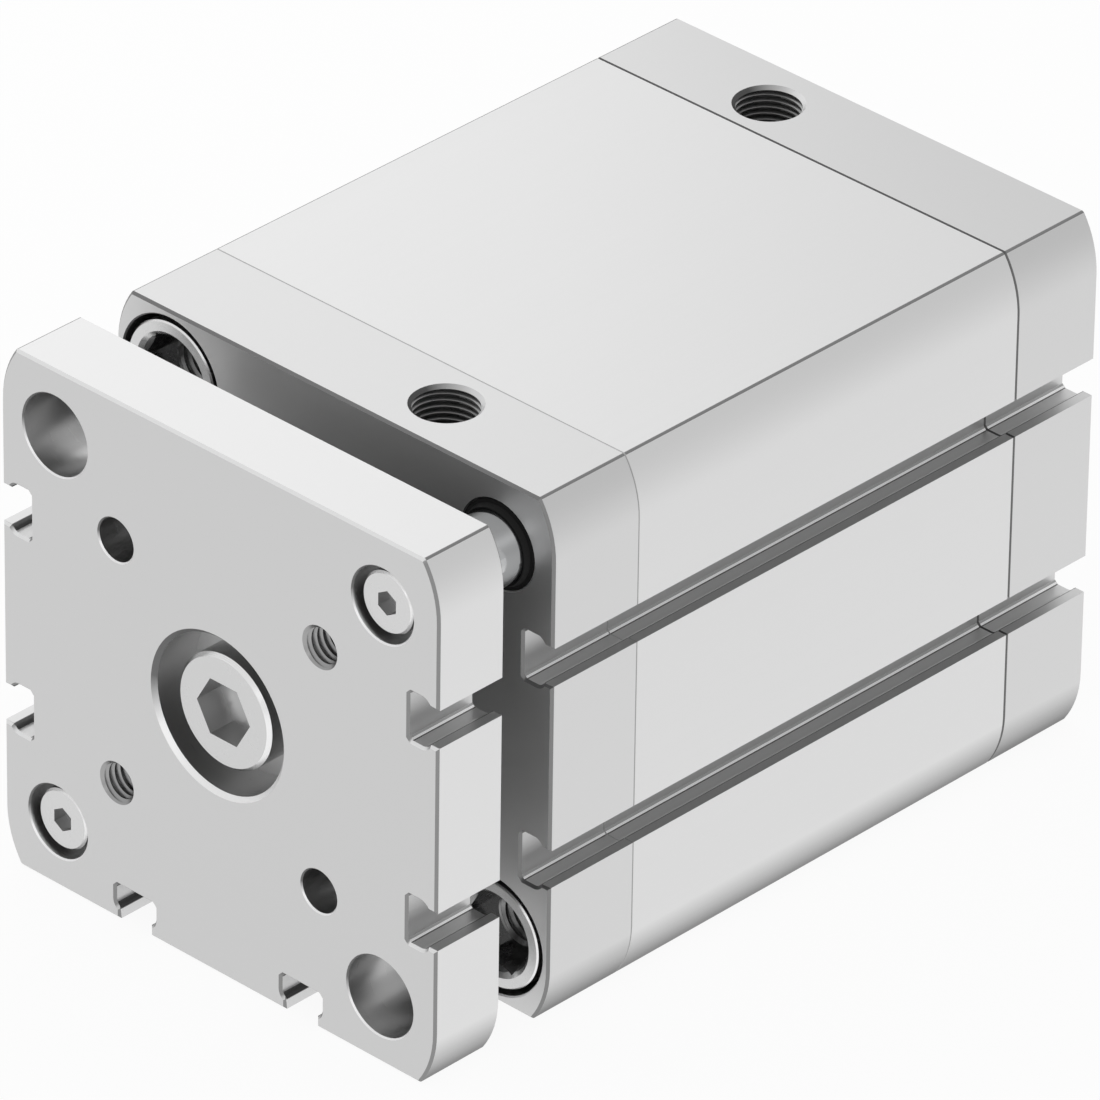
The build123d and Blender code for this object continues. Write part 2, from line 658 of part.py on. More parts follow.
def build_pieces():
    """Every piece by its node name."""
    pieces = {
        "cylinder_barrel": cylinder_barrel(),
        "front_cap": front_cap(),
        "rear_cap": rear_cap(),
        "front_cap_screws": front_cap_screws(),
        "rear_cap_screws": rear_cap_screws(),
        "front_barrel_seal": barrel_seal(FRONT_CAP_START - SEAL_SEAT_DEPTH / 2),
        "rear_barrel_seal": barrel_seal(BARREL_START + SEAL_SEAT_DEPTH / 2),
        "rod_bush": rod_bush(),
        "rod_seal": rod_seal(),
        "yoke_plate": yoke_plate(),
        "yoke_screw": yoke_screw(),
        "guide_rod_screws": guide_rod_screws(),
        "piston_rod": piston_rod(),
        "piston_front": piston_front(),
        "piston_rear": piston_rear(),
        "piston_screw": piston_screw(),
        "rod_ring_seal": rod_ring(),
        "piston_magnet": piston_magnet(),
        "piston_guide_band": piston_guide_band(),
        "front_piston_seal": piston_seal(1),
        "rear_piston_seal": piston_seal(-1),
        "front_cushion_pad": cushion_pad(1),
        "rear_cushion_pad": cushion_pad(-1),
    }
    for side, (x, z) in GUIDE_CORNERS.items():
        pieces[f"{side}_guide_rod"] = guide_rod(x, z)
        pieces[f"{side}_guide_bush"] = guide_bush(x, z)
        pieces[f"{side}_guide_wiper"] = guide_wiper(x, z)
    return pieces


os.makedirs("parts", exist_ok=True)
for name, piece in build_pieces().items():
    export_step(piece, f"parts/{name}.step")
    print(name, len(piece.solids()), round(piece.volume))
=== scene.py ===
# %% [markdown]
# # A guided pneumatic cylinder
#
# Air drives a piston in a square aluminium body, and a plate in front of it moves out on
# the piston rod and on two guide rods. The solids were made in CAD. They arrive here as
# named nodes, in metres and in their final places, so nothing has to be fitted or scaled.
# This lesson gives them the finishes of the real metals, cuts the screw threads that the
# solids leave out, and sets the cylinder in a plain, bright studio.

# %% Load the solids
import json
from math import ceil, copysign, cos, hypot, radians, sin, sqrt, tau

import bmesh
import bpy
from mathutils import Matrix, Vector

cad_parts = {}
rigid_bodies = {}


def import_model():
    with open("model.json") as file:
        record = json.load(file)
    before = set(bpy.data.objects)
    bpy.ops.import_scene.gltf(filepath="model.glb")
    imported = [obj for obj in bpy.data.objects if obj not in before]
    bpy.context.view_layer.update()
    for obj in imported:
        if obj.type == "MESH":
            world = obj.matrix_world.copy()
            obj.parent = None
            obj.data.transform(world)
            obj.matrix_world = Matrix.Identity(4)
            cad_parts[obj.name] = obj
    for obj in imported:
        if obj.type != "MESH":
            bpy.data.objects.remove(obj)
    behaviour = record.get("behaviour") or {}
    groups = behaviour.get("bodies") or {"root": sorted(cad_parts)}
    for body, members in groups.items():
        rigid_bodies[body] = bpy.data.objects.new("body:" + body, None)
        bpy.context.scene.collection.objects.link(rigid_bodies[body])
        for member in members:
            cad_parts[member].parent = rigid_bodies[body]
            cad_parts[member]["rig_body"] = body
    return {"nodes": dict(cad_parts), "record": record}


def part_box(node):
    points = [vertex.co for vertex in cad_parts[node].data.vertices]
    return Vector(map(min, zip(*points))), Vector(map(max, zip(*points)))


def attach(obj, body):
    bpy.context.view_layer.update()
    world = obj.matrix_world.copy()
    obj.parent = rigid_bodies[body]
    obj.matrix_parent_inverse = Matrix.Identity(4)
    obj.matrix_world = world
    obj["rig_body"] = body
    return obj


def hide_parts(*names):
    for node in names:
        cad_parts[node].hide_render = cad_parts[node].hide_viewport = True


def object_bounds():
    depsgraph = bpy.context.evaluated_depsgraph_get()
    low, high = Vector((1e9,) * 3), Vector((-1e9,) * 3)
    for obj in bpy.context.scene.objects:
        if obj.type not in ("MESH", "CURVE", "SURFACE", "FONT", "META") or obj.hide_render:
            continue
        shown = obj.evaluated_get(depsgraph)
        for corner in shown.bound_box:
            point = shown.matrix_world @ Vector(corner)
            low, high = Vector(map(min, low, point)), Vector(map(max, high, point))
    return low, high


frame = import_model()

MM = 0.001
cad_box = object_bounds()
nodes = frame["nodes"]
mounts = {mount["name"]: mount for mount in frame["record"]["mounts"]}

# %% [markdown]
# ## One helper for every node tree
#
# Materials and Geometry Nodes are both trees of nodes. One small function adds any node:
# it takes the node's type, what its sockets get, and its settings. A socket gets a value,
# another socket, or another node, whose first output is then linked. That keeps a tree as
# readable as a formula, because the calls nest.

# %% A function that adds a node
def add(tree, kind, inputs=None, **settings):
    node = tree.nodes.new(kind)
    for name, value in settings.items():
        setattr(node, name, value)
    for socket, value in (inputs or {}).items():
        target = node.inputs[socket]
        if isinstance(value, bpy.types.Node):
            tree.links.new(value.outputs[0], target)
        elif isinstance(value, bpy.types.NodeSocket):
            tree.links.new(value, target)
        else:
            target.default_value = value
    return node


print("the node types are those of Blender", bpy.app.version_string)

# %% [markdown]
# ## Colours and the start of a material
#
# Paint charts and screens give colours as sRGB hex values, while the shader works with
# linear light. One function does the conversion, so a colour can be written as it is
# known. Every finish below is a Principled shader on Object coordinates. These are in
# metres here, so one over a size in metres is the scale of a pattern of that size.

# %% Colour conversion, and a material with its shader
def linear(hex_code):
    def channel(value):
        return value / 12.92 if value <= 0.04045 else ((value + 0.055) / 1.055) ** 2.4

    parts = [int(hex_code[i:i + 2], 16) / 255 for i in (0, 2, 4)]
    return (*[channel(part) for part in parts], 1.0)


def new_finish(name, colour, metallic, roughness):
    """A material with its tree, its Principled shader and its Object coordinates."""
    finish = bpy.data.materials.new(name)
    finish.use_nodes = True
    tree = finish.node_tree
    tree.nodes.clear()
    shader = add(tree, "ShaderNodeBsdfPrincipled", {
        "Base Color": linear(colour), "Metallic": metallic, "Roughness": roughness,
    })
    add(tree, "ShaderNodeOutputMaterial", {"Surface": shader})
    place = add(tree, "ShaderNodeTexCoord").outputs["Object"]
    return finish, tree, shader, place


print("white is", linear("FFFFFF"), "mid grey is", linear("808080")[0])

# %% [markdown]
# ## Patterns that the finishes share
#
# Four patterns turn up again and again on machined metal:
#
# - die lines: an extruded bar carries fine lines along its length, from the die. A noise
#   that is stretched a few hundred times along Y draws them;
# - etched grain: before it is anodised, aluminium is etched dull in caustic soda, which
#   leaves a fine, even grain;
# - cutter marks: a face mill that crosses a face leaves arcs, one for each turn of the
#   cutter, all with the cutter's own radius;
# - tool rings: a drill, a boring tool or a grinding wheel leaves fine rings round the
#   axis. A noise that is squashed along Y and drawn out across it gives them.
#
# Each returns a height or a shade between 0 and 1. Images could do the same, but a
# pattern that is worked out has no seams and no resolution, and its scale is a real size.

# %% Die lines, etched grain, cutter marks and tool rings
ACROSS_RINGS = 0.02          # how much slower the rings change across the axis than along


def die_lines(tree, place, spacing, length):
    stretch = add(tree, "ShaderNodeMapping", {
        "Vector": place, "Scale": (1 / spacing, 1 / length, 1 / spacing),
    })
    return add(tree, "ShaderNodeTexNoise", {"Vector": stretch, "Scale": 1.0, "Detail": 3.0})


def etched_grain(tree, place, size):
    return add(tree, "ShaderNodeTexNoise", {
        "Vector": place, "Scale": 1 / size, "Detail": 2.0, "Roughness": 0.6,
    })


def cutter_marks(tree, place, cutter_radius, feed):
    """Arcs of a face mill that moved along X over a face that looks along Y."""
    axes = add(tree, "ShaderNodeSeparateXYZ", {"Vector": place})
    height = add(tree, "ShaderNodeMath", {0: axes.outputs["Z"], 1: 2.0}, operation="POWER")
    square = add(tree, "ShaderNodeMath", {0: cutter_radius**2, 1: height},
                 operation="SUBTRACT")
    arc = add(tree, "ShaderNodeMath", {0: square}, operation="SQRT")
    along = add(tree, "ShaderNodeMath", {0: axes.outputs["X"], 1: arc}, operation="ADD")
    turns = add(tree, "ShaderNodeMath", {0: along, 1: feed}, operation="DIVIDE")
    return add(tree, "ShaderNodeMath", {0: turns, 1: 0.5}, operation="PINGPONG")


def tool_rings(tree, place, spacing):
    """Rings round an axis along Y."""
    squash = add(tree, "ShaderNodeMapping", {
        "Vector": place, "Scale": (ACROSS_RINGS / spacing, 1 / spacing, ACROSS_RINGS / spacing),
    })
    return add(tree, "ShaderNodeTexNoise", {"Vector": squash, "Scale": 1.0, "Detail": 2.0})


patterns = (die_lines, etched_grain, cutter_marks, tool_rings)
print("patterns:", ", ".join(pattern.__name__ for pattern in patterns))

# %% [markdown]
# ## Clear anodised aluminium
#
# The body, its caps and the plate are aluminium with a clear anodised layer. The layer
# is a few micrometres of hard oxide over etched metal, so to the eye it is a pale, silky
# grey metal with soft, wide highlights and no mirror images. The barrel is an
# extrusion that keeps its die lines. The caps and the plate are cut from extruded bar and
# milled on their faces, so they need both patterns, and which one shows depends on where
# the surface looks: the normal's Y part tells the milled faces from the rest.
#
# The lower arcs of the section look down at the shadow that the cylinder stands in, and
# get darker towards the bottom. The floor of this studio is nearly white even there, so
# that shade is painted into the colour: it gets darker where the normal's Z part points
# down. A metal turns white at a glancing angle whatever its colour is, so its edge tint
# gets the same painted shade.

# %% Uneven gloss, and painted shade below
# painted shade on the faces that look down, standing in for the floor's shadow
UNDERSIDE_PAINTED_SHADE = 0.4              # what is left of the colour on faces that look down
DARKER_FROM = -0.08          # Z part of the normal where that starts
DARKEST_FROM = -0.6          # and where it is complete


def satin(tree, shader, pattern, roughness, spread, depth):
    """Lets a pattern vary the roughness a little and raise the surface by its depth."""
    dull = add(tree, "ShaderNodeMapRange", {
        "Value": pattern, "To Min": roughness - spread, "To Max": roughness + spread,
    })
    relief = add(tree, "ShaderNodeBump", {"Height": pattern, "Distance": depth})
    tree.links.new(dull.outputs[0], shader.inputs["Roughness"])
    tree.links.new(relief.outputs[0], shader.inputs["Normal"])


def looks(tree):
    """The X, Y and Z parts of the direction that the surface looks in."""
    normal = add(tree, "ShaderNodeTexCoord").outputs["Normal"]
    return add(tree, "ShaderNodeSeparateXYZ", {"Vector": normal}).outputs


def painted_shade_below(tree, shader, colour):
    """Leads a colour to the shader, with painted shade where the surface looks down."""
    left = add(tree, "ShaderNodeMapRange", {
        "Value": looks(tree)["Z"], "From Min": DARKER_FROM, "From Max": DARKEST_FROM,
        "To Min": 1.0, "To Max": UNDERSIDE_PAINTED_SHADE,
    })
    shade = add(tree, "ShaderNodeVectorMath", {0: colour, 1: left}, operation="MULTIPLY")
    tree.links.new(shade.outputs[0], shader.inputs["Base Color"])
    tree.links.new(left.outputs[0], shader.inputs["Specular Tint"])


print("faces that look down keep", UNDERSIDE_PAINTED_SHADE, "of their colour")

# %% [markdown]
# A slot needs one thing more: painted shade that follows the depth under the flat that
# the slot opens in. The back of its lip gets a painted shadow, and a fine painted
# highlight runs along the corner at the bottom. Both are narrower than the solid's own
# faces, so they can't be finishes of faces. A colour ramp on the depth draws them as thin
# as they are.

# %% Painted shade by depth
HALF_WIDTH = cad_box[1][0]
PAST_LAST_SHADE = 1.1        # the ramp's length, as a share of the last shade's depth


def painted_shade_by_depth(tree, place, shades):
    """Painted shade and highlight from a list of (depth in mm under a flat, the colour from
    there on).
    """
    deepest = PAST_LAST_SHADE * shades[-1][0] * MM
    out = add(tree, "ShaderNodeVectorMath", {0: place}, operation="ABSOLUTE")
    axes = add(tree, "ShaderNodeSeparateXYZ", {"Vector": out}).outputs
    far = add(tree, "ShaderNodeMath", {0: axes["X"], 1: axes["Z"]}, operation="MAXIMUM")
    share = add(tree, "ShaderNodeMapRange", {
        "Value": far, "From Min": HALF_WIDTH, "From Max": HALF_WIDTH - deepest,
    })
    ramp = add(tree, "ShaderNodeValToRGB", {"Fac": share})
    ramp.color_ramp.interpolation = "CONSTANT"
    stops = ramp.color_ramp.elements
    for index, (depth, colour) in enumerate(shades):
        position = depth * MM / deepest
        stop = stops[index] if index < 2 else stops.new(position)
        stop.position = position
        stop.color = linear(colour)
    return ramp.outputs["Color"]


print("the section's flats are", round(HALF_WIDTH / MM, 2), "mm from the axis")

# %% Anodised aluminium, extruded
DIE_LINE = 0.35 * MM         # true die lines are finer; drawn this coarse so that they show
DIE_LINE_LENGTH = 120 * MM
ETCH_GRAIN = 0.22 * MM       # a true etched grain is near 0.05 mm
SATIN_RELIEF = 0.0015 * MM   # height of the lines and of the grain
LINES_OR_GRAIN = 0.5         # how much of the relief is grain
BARREL_ROUGHNESS = 0.5       # from the etch


def anodised_extrusion(name, colour, roughness, shades=()):
    """Extruded metal in one colour, or in painted shades that follow the depth."""
    finish, tree, shader, place = new_finish(name, colour, 1.0, roughness)
    lines = die_lines(tree, place, DIE_LINE, DIE_LINE_LENGTH)
    grain = etched_grain(tree, place, ETCH_GRAIN)
    both = add(tree, "ShaderNodeMix", {"Factor": LINES_OR_GRAIN, 2: lines, 3: grain},
               data_type="FLOAT")
    satin(tree, shader, both, roughness, spread=0.05, depth=SATIN_RELIEF)
    shade = painted_shade_by_depth(tree, place, shades) if shades else linear(colour)[:3]
    painted_shade_below(tree, shader, shade)
    return finish


anodised_barrel = anodised_extrusion("anodised_extrusion", "E3E3E3", BARREL_ROUGHNESS)
print("die lines every", DIE_LINE / MM, "mm")

# %% Anodised aluminium, extruded bar with milled faces
FACE_MILL_RADIUS = 63 * MM
FACE_MILL_FEED = 0.4 * MM
MARKS_OR_GRAIN = 0.6         # how much of the relief is grain here
BAR_ROUGHNESS = 0.44
FACES_ALONG_Y = 0.9          # Y part of the normal from which a face counts as milled


def anodised_bar(name, colour, milled_colour):
    """The same metal as extruded bar, sawn and face-milled where it looks along Y."""
    finish, tree, shader, place = new_finish(name, colour, 1.0, BAR_ROUGHNESS)
    facing = add(tree, "ShaderNodeMath", {0: looks(tree)["Y"]}, operation="ABSOLUTE")
    milled = add(tree, "ShaderNodeMath", {0: facing, 1: FACES_ALONG_Y},
                 operation="GREATER_THAN")
    lines = die_lines(tree, place, DIE_LINE, DIE_LINE_LENGTH)
    marks = cutter_marks(tree, place, FACE_MILL_RADIUS, FACE_MILL_FEED)
    grain = etched_grain(tree, place, ETCH_GRAIN)
    shaped = add(tree, "ShaderNodeMix", {"Factor": milled, 2: lines, 3: marks},
                 data_type="FLOAT")
    both = add(tree, "ShaderNodeMix", {"Factor": MARKS_OR_GRAIN, 2: shaped, 3: grain},
               data_type="FLOAT")
    satin(tree, shader, both, BAR_ROUGHNESS, spread=0.04, depth=SATIN_RELIEF)
    shade = add(tree, "ShaderNodeMix", {
        "Factor": milled, 6: linear(colour), 7: linear(milled_colour),
    }, data_type="RGBA")
    painted_shade_below(tree, shader, shade.outputs[2])
    return finish


anodised_caps = anodised_bar("anodised_cap_bar", "D9D9D9", "D1D1D1")
anodised_plate = anodised_bar("anodised_plate_bar", "E3E3E3", "CFCFCF")
print("cutter marks every", FACE_MILL_FEED / MM, "mm")

# %% [markdown]
# ## Walls, edges and joints
#
# A look at the real thing shows that one finish per part isn't enough. The walls of holes
# were bored and hardly etched, and the slots were etched less than the outside, so both
# are glossier; their darker colours are painted shade. The ends were sawn and their edges
# broken by hand, and the long edges between flats and arcs are as the die left them; both
# get thin darker rims, which are painted shade. Where a cap meets the barrel, two rims make
# a groove: at the front they are narrow and nearly gone, at the rear they are wide and
# hold a painted shadow.
#
# A rim is too narrow to mirror much, so its light is painted: the mouth of a hole gets a
# painted highlight where it looks up and painted shade where it looks down. So the rims
# share one function, which can blend from one colour to another along a direction.

# %% Finishes of walls, edges and joints
# painted shades in a slot, each from a depth in mm: the lip, a painted shadow at its back,
# the wall, a painted dark line and a painted highlight along the corner, the corner and the
# floor
SLOT_PAINTED_SHADES = ((0.0, "D8D8D8"), (1.38, "7A7A7A"), (2.15, "D8D8D8"), (4.36, "6E6E6E"),
               (4.55, "FFFFFF"), (4.78, "B4B4B4"), (4.97, "D8D8D8"))
SLOT_ROUGHNESS = 0.4
BORED_RING = 0.12 * MM
BORED_ROUGHNESS = 0.3
RIM_ROUGHNESS = 0.5
UP = (0.0, 0.0, 1.0)
# the mouth of a port gets a painted highlight where it looks against this direction and painted
# shade where it looks along it
LEFT_TO_RIGHT = (0.73, 0.68, 0.0)    # as the front and the right side are seen together


def bored_wall(name, colour):
    """Wall of a hole, with the fine rings that the drill and the boring tool leave."""
    finish, tree, shader, place = new_finish(name, colour, 1.0, BORED_ROUGHNESS)
    rings = tool_rings(tree, place, BORED_RING)
    satin(tree, shader, rings, BORED_ROUGHNESS, spread=0.06, depth=0.0008 * MM)
    return finish


def rim(name, from_colour, to_colour=None, direction=UP, low=0.4, high=0.65):
    """A dull rim, which may blend to a second colour along the direction it looks in."""
    finish, tree, shader, place = new_finish(name, from_colour, 1.0, RIM_ROUGHNESS)
    grain = etched_grain(tree, place, ETCH_GRAIN)
    satin(tree, shader, grain, RIM_ROUGHNESS, spread=0.08, depth=0.001 * MM)
    if to_colour is None:
        return finish
    normal = add(tree, "ShaderNodeTexCoord").outputs["Normal"]
    along = add(tree, "ShaderNodeVectorMath", {0: normal, 1: direction},
                operation="DOT_PRODUCT").outputs["Value"]
    share = add(tree, "ShaderNodeMapRange", {
        "Value": along, "From Min": low, "From Max": high,
    })
    shade = add(tree, "ShaderNodeMix", {
        "Factor": share, 6: linear(from_colour), 7: linear(to_colour),
    }, data_type="RGBA")
    tree.links.new(shade.outputs[2], shader.inputs["Base Color"])
    return finish


# darker colours for the walls of holes, threads and slots: painted shade
bored = bored_wall("anodised_bored_wall", "C4C4C4")
tapped = bored_wall("anodised_thread", "A4A4A4")
slot_wall = anodised_extrusion("anodised_slot_wall", SLOT_PAINTED_SHADES[0][1], SLOT_ROUGHNESS,
                               SLOT_PAINTED_SHADES)
# the rims' colours, and their blends along a direction, are painted shade and painted
# highlights
plate_edge = rim("broken_plate_edge", "929292", "F0F0F0")
cap_edge = rim("broken_cap_edge", "8A8A8A", "848484")
die_edge = rim("anodised_die_edge", "8E8E8E")
front_groove = rim("narrow_joint", "ACACAC", "C2C2C2")
rear_groove = rim("wide_joint", "767676", "666666")
hole_mouth = rim("bored_mouth", "747474", "FAFAFA", UP, low=-0.05, high=0.35)
port_mouth = rim("port_mouth", "E0E0E0", "5C5C5C", LEFT_TO_RIGHT, low=-0.5, high=0.4)
print(len(SLOT_PAINTED_SHADES), "shades in a slot, the last from", SLOT_PAINTED_SHADES[-1][0], "mm down")

# %% [markdown]
# ## Steel
#
# The screws are turned and zinc plated. A turned head has fine rings about its axis,
# under a bright coating that is a little cloudy. In the sockets the coating is thin and
# dull, because little of the bath's current reaches in there; their darker colour is
# painted shade. The edges of the heads get the most of the coating, and their near-white
# colour is a painted highlight. Rings about an axis need the distance from it, and the
# screws sit at four corners, alike on all sides, so the absolute values of X and Z bring
# all four onto one corner before the distance is taken.
# The rods are hardened, ground and polished: a mirror with very fine rings round it.

# %% Zinc-plated screws and ground rods
TURNED_RING = 0.16 * MM      # the feed of the lathe, drawn coarser than the true 0.1 mm
ZINC_CLOUD = 1.6 * MM
RINGS_OR_CLOUD = 0.6         # how much of the relief is cloud
BRIGHT_ZINC = 0.27           # roughness of a full coating
DULL_ZINC = 0.45             # and of a thin one
GRIND_LINE = 0.12 * MM
GROUND_ROUGHNESS = 0.09


def axis_distance(tree, place, corner):
    """Distance from the nearest of four axes along Y, a corner's offset from the middle."""
    folded = add(tree, "ShaderNodeVectorMath", {0: place}, operation="ABSOLUTE")
    local = add(tree, "ShaderNodeVectorMath", {0: folded, 1: (corner, 0.0, corner)},
                operation="SUBTRACT")
    flat = add(tree, "ShaderNodeVectorMath", {0: local, 1: (1.0, 0.0, 1.0)},
               operation="MULTIPLY")
    return add(tree, "ShaderNodeVectorMath", {0: flat}, operation="LENGTH").outputs["Value"]


def turned_rings(tree, place, corner):
    """Rings of the lathe on a face that looks along Y."""
    out = axis_distance(tree, place, corner)
    turns = add(tree, "ShaderNodeMath", {0: out, 1: TURNED_RING}, operation="DIVIDE")
    return add(tree, "ShaderNodeMath", {0: turns, 1: 0.5}, operation="PINGPONG")


def zinc_steel(name, colour, corner, roughness=BRIGHT_ZINC):
    finish, tree, shader, place = new_finish(name, colour, 1.0, roughness)
    rings = turned_rings(tree, place, corner)
    cloud = etched_grain(tree, place, ZINC_CLOUD)
    both = add(tree, "ShaderNodeMix", {"Factor": RINGS_OR_CLOUD, 2: rings, 3: cloud},
               data_type="FLOAT")
    satin(tree, shader, both, roughness, spread=0.07, depth=0.0012 * MM)
    return finish


def ground_steel():
    finish, tree, shader, place = new_finish("ground_rod_steel", "C4C5C6", 1.0,
                                             GROUND_ROUGHNESS)
    rings = tool_rings(tree, place, GRIND_LINE)
    satin(tree, shader, rings, GROUND_ROUGHNESS, spread=0.03, depth=0.0002 * MM)
    return finish


corner = mounts["key_hole_lower"]["pos_m"][0]
corner_zinc = zinc_steel("zinc_plated_corner_screw", "D3D3D3", corner)
middle_zinc = zinc_steel("zinc_plated_middle_screw", "CFCFCF", 0.0)
# the darker sockets are painted shade, and the near-white head edges a painted highlight
corner_socket_shade = zinc_steel("zinc_plated_corner_socket", "909090", corner)
head_edge_highlight = zinc_steel("zinc_plated_head_edge", "F2F2F2", 0.0)
guide_socket_shade = zinc_steel("zinc_plated_guide_socket", "C4C4C4", corner, DULL_ZINC)
yoke_socket_shade = zinc_steel("zinc_plated_yoke_socket", "C0C0C0", 0.0, DULL_ZINC)
rod_steel = ground_steel()
print("corner screws are", round(corner / MM, 2), "mm from the middle, both ways")

# %% [markdown]
# ## Rubber, plastics and the bearings
#
# Wipers and seals are moulded nitrile rubber: black, dull, with a slight sheen where the
# mould was smooth. The cushion pads are cast polyurethane. The guide band is filled
# acetal and the magnet is plastic full of magnet powder, so both are matt and speckled.
# The piston's halves are bare aluminium from the lathe, bright and ringed. The bushes are
# rolled from bronze strip, warm in colour and as smooth as the roll.

# %% Moulded and pressed materials
MATT_RELIEF = 0.003 * MM     # height of the grain on rubber and plastics
LATHE_RELIEF = 0.002 * MM    # height of the rings and of the rolled grain
ROLLED_GRAIN = 0.3 * MM
TURNED_ROUGHNESS = 0.24
BRONZE_ROUGHNESS = 0.34


def moulded(name, colour, gloss, roughness, grain_size):
    finish, tree, shader, place = new_finish(name, colour, 0.0, roughness)
    shader.inputs["Specular IOR Level"].default_value = gloss
    grain = etched_grain(tree, place, grain_size)
    satin(tree, shader, grain, roughness, spread=0.06, depth=MATT_RELIEF)
    return finish


def speckled(name, dark, light, roughness, grain_size):
    finish, tree, shader, place = new_finish(name, dark, 0.0, roughness)
    grain = etched_grain(tree, place, grain_size)
    specks = add(tree, "ShaderNodeValToRGB", {"Fac": grain})
    specks.color_ramp.elements[0].color = linear(dark)
    specks.color_ramp.elements[1].color = linear(light)
    tree.links.new(specks.outputs["Color"], shader.inputs["Base Color"])
    satin(tree, shader, grain, roughness, spread=0.05, depth=MATT_RELIEF)
    return finish


def turned_aluminium():
    """Bare aluminium from the lathe, brighter than the anodised parts, with its rings."""
    finish, tree, shader, place = new_finish("turned_aluminium", "DCDDDE", 1.0,
                                             TURNED_ROUGHNESS)
    rings = turned_rings(tree, place, 0.0)
    satin(tree, shader, rings, TURNED_ROUGHNESS, spread=0.05, depth=LATHE_RELIEF)
    return finish


def rolled_bronze():
    finish, tree, shader, place = new_finish("rolled_bronze_strip", "A98B5F", 1.0,
                                             BRONZE_ROUGHNESS)
    grain = etched_grain(tree, place, ROLLED_GRAIN)
    satin(tree, shader, grain, BRONZE_ROUGHNESS, spread=0.06, depth=LATHE_RELIEF)
    return finish


nitrile = moulded("moulded_nitrile_rubber", "0C0C0C", gloss=0.25, roughness=0.6,
                  grain_size=0.3 * MM)
polyurethane = moulded("cast_polyurethane", "26272A", gloss=0.5, roughness=0.42,
                       grain_size=0.5 * MM)
acetal = speckled("filled_acetal_strip", "5A3B28", "6E4C36", roughness=0.5,
                  grain_size=0.4 * MM)
magnet = speckled("plastic_bonded_magnet", "202122", "34353A", roughness=0.6,
                  grain_size=0.25 * MM)
bare_aluminium = turned_aluminium()
bronze = rolled_bronze()
dull = (nitrile, polyurethane, acetal, magnet)
print("dull materials:", ", ".join(finish.name for finish in dull))

# %% [markdown]
# ## Give each solid its finish
#
# The record that came with the solids names a material slot for each of them. A table
# from slot to finish is all that is left to write, with the screws told apart by where
# they sit. A solid's own mesh is never touched: only the material in its slot changes.

# %% Finish by slot
FINISH_OF_SLOT = {
    "anodised_profile": anodised_barrel,
    "anodised_cap": anodised_caps,
    "anodised_plate": anodised_plate,
    "zinc_steel": corner_zinc,
    "ground_rod": rod_steel,
    "bearing_bronze": bronze,
    "seal_rubber": nitrile,
    "pad_elastomer": polyurethane,
    "piston_aluminium": bare_aluminium,
    "magnet": magnet,
    "guide_plastic": acetal,
}
ON_THE_AXIS = ("yoke_screw", "piston_screw")

slot_of_node = {part["node"]: part["material_slot"] for part in frame["record"]["subparts"]}
for name, solid in nodes.items():
    finish = FINISH_OF_SLOT[slot_of_node[name]]
    if name in ON_THE_AXIS:
        finish = middle_zinc
    solid.data.materials.clear()
    solid.data.materials.append(finish)
print(len(slot_of_node), "solids finished")

# %% [markdown]
# ## Screw threads
#
# The solids show every threaded hole as a plain bore at its core diameter. The real
# holes were tapped, and light on the rings of a thread is what tells the eye that a
# fitting or a screw goes in. A bump texture could fake the rings, but not the ragged
# rim, and a spring of wire laid in the hole would make the hole narrower. So this part
# does what the workshop does: it makes a tap and cuts with it.
#
# The tap follows a rule, which makes it work for Geometry Nodes. Start from a flat
# grid, as wide as one turn. Across the grid the angle goes once round; up the grid the
# rows climb, and each row also climbs by one pitch along its width, so that its end
# meets the start of a row one turn higher. Wrapped into a tube and merged, the rows are
# one endless helix. The radius swings between the core and the root of the thread as
# the height, less the climb, goes through each pitch. The first and the last row shrink
# to a point, which closes the ends.

# %% A tap, as a Geometry Nodes tree
STEPS_PER_PITCH = 2          # one row in the valley of the thread and one on its ridge
WELD = 0.001 * MM            # points nearer than this become one


